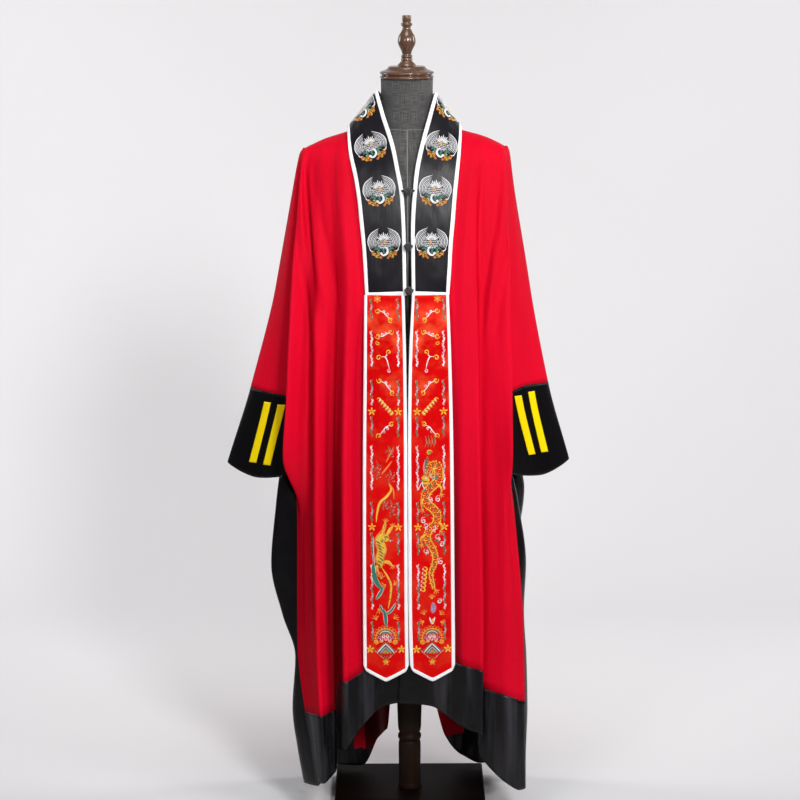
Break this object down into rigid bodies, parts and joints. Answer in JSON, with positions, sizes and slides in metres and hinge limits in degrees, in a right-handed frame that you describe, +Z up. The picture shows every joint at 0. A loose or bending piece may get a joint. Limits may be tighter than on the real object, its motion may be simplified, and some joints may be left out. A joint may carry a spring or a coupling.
{
  "type": "taoist robe set on a limbless dress form",
  "caption": "Red ceremonial robe with black satin borders, cuffs and collar band and long hanging ribbons, worn on a limbless linen dress form with a wooden stand.",
  "frame": {"origin": "middle of the stand's underside, on the floor, under the pole's axis", "axes": "+Z up, the robe's front faces -Y, the picture's right is +X"},
  "size_m": [0.7438, 0.3507, 1.7248],
  "materials": {
    "red_cloth": "matt plain-woven polyester with a slight sheen",
    "black_satin": "soft satin",
    "red_satin": "soft satin",
    "white_piping": "narrow white binding",
    "yellow_satin": "satin tape",
    "linen": "coarse grey linen cover",
    "turned_wood": "brown stain, glossy",
    "stand_wood": "dark stain, satin gloss"
  },
  "bodies": {
    "root": {"back_left": "red_cloth", "back_right": "red_cloth", "base_plate": "stand_wood", "button_knot_1": "black_satin", "button_knot_2": "black_satin", "button_knot_3": "black_satin", "button_loop_1": "black_satin", "button_loop_2": "black_satin", "button_loop_3": "black_satin", "collar_left": "black_satin", "collar_piping_left": "white_piping", "collar_piping_right": "white_piping", "collar_right": "black_satin", "cuff_bar_left_back_1": "yellow_satin", "cuff_bar_left_back_2": "yellow_satin", "cuff_bar_left_front_1": "yellow_satin", "cuff_bar_left_front_2": "yellow_satin", "cuff_bar_right_back_1": "yellow_satin", "cuff_bar_right_back_2": "yellow_satin", "cuff_bar_right_front_1": "yellow_satin", "cuff_bar_right_front_2": "yellow_satin", "cuff_left": "black_satin", "cuff_right": "black_satin", "finial": "turned_wood", "front_left": "red_cloth", "front_right": "red_cloth", "hem_back_left": "black_satin", "hem_back_right": "black_satin", "hem_front_left": "black_satin", "hem_front_right": "black_satin", "neck_cap": "turned_wood", "pole": "stand_wood", "ribbon_left": "red_satin", "ribbon_piping_left": "white_piping", "ribbon_piping_right": "white_piping", "ribbon_right": "red_satin", "side_border_back_left": "black_satin", "side_border_back_right": "black_satin", "side_border_front_left": "black_satin", "side_border_front_right": "black_satin", "sleeve_left": "red_cloth", "sleeve_right": "red_cloth", "torso": "linen"}
  },
  "joints": []
}
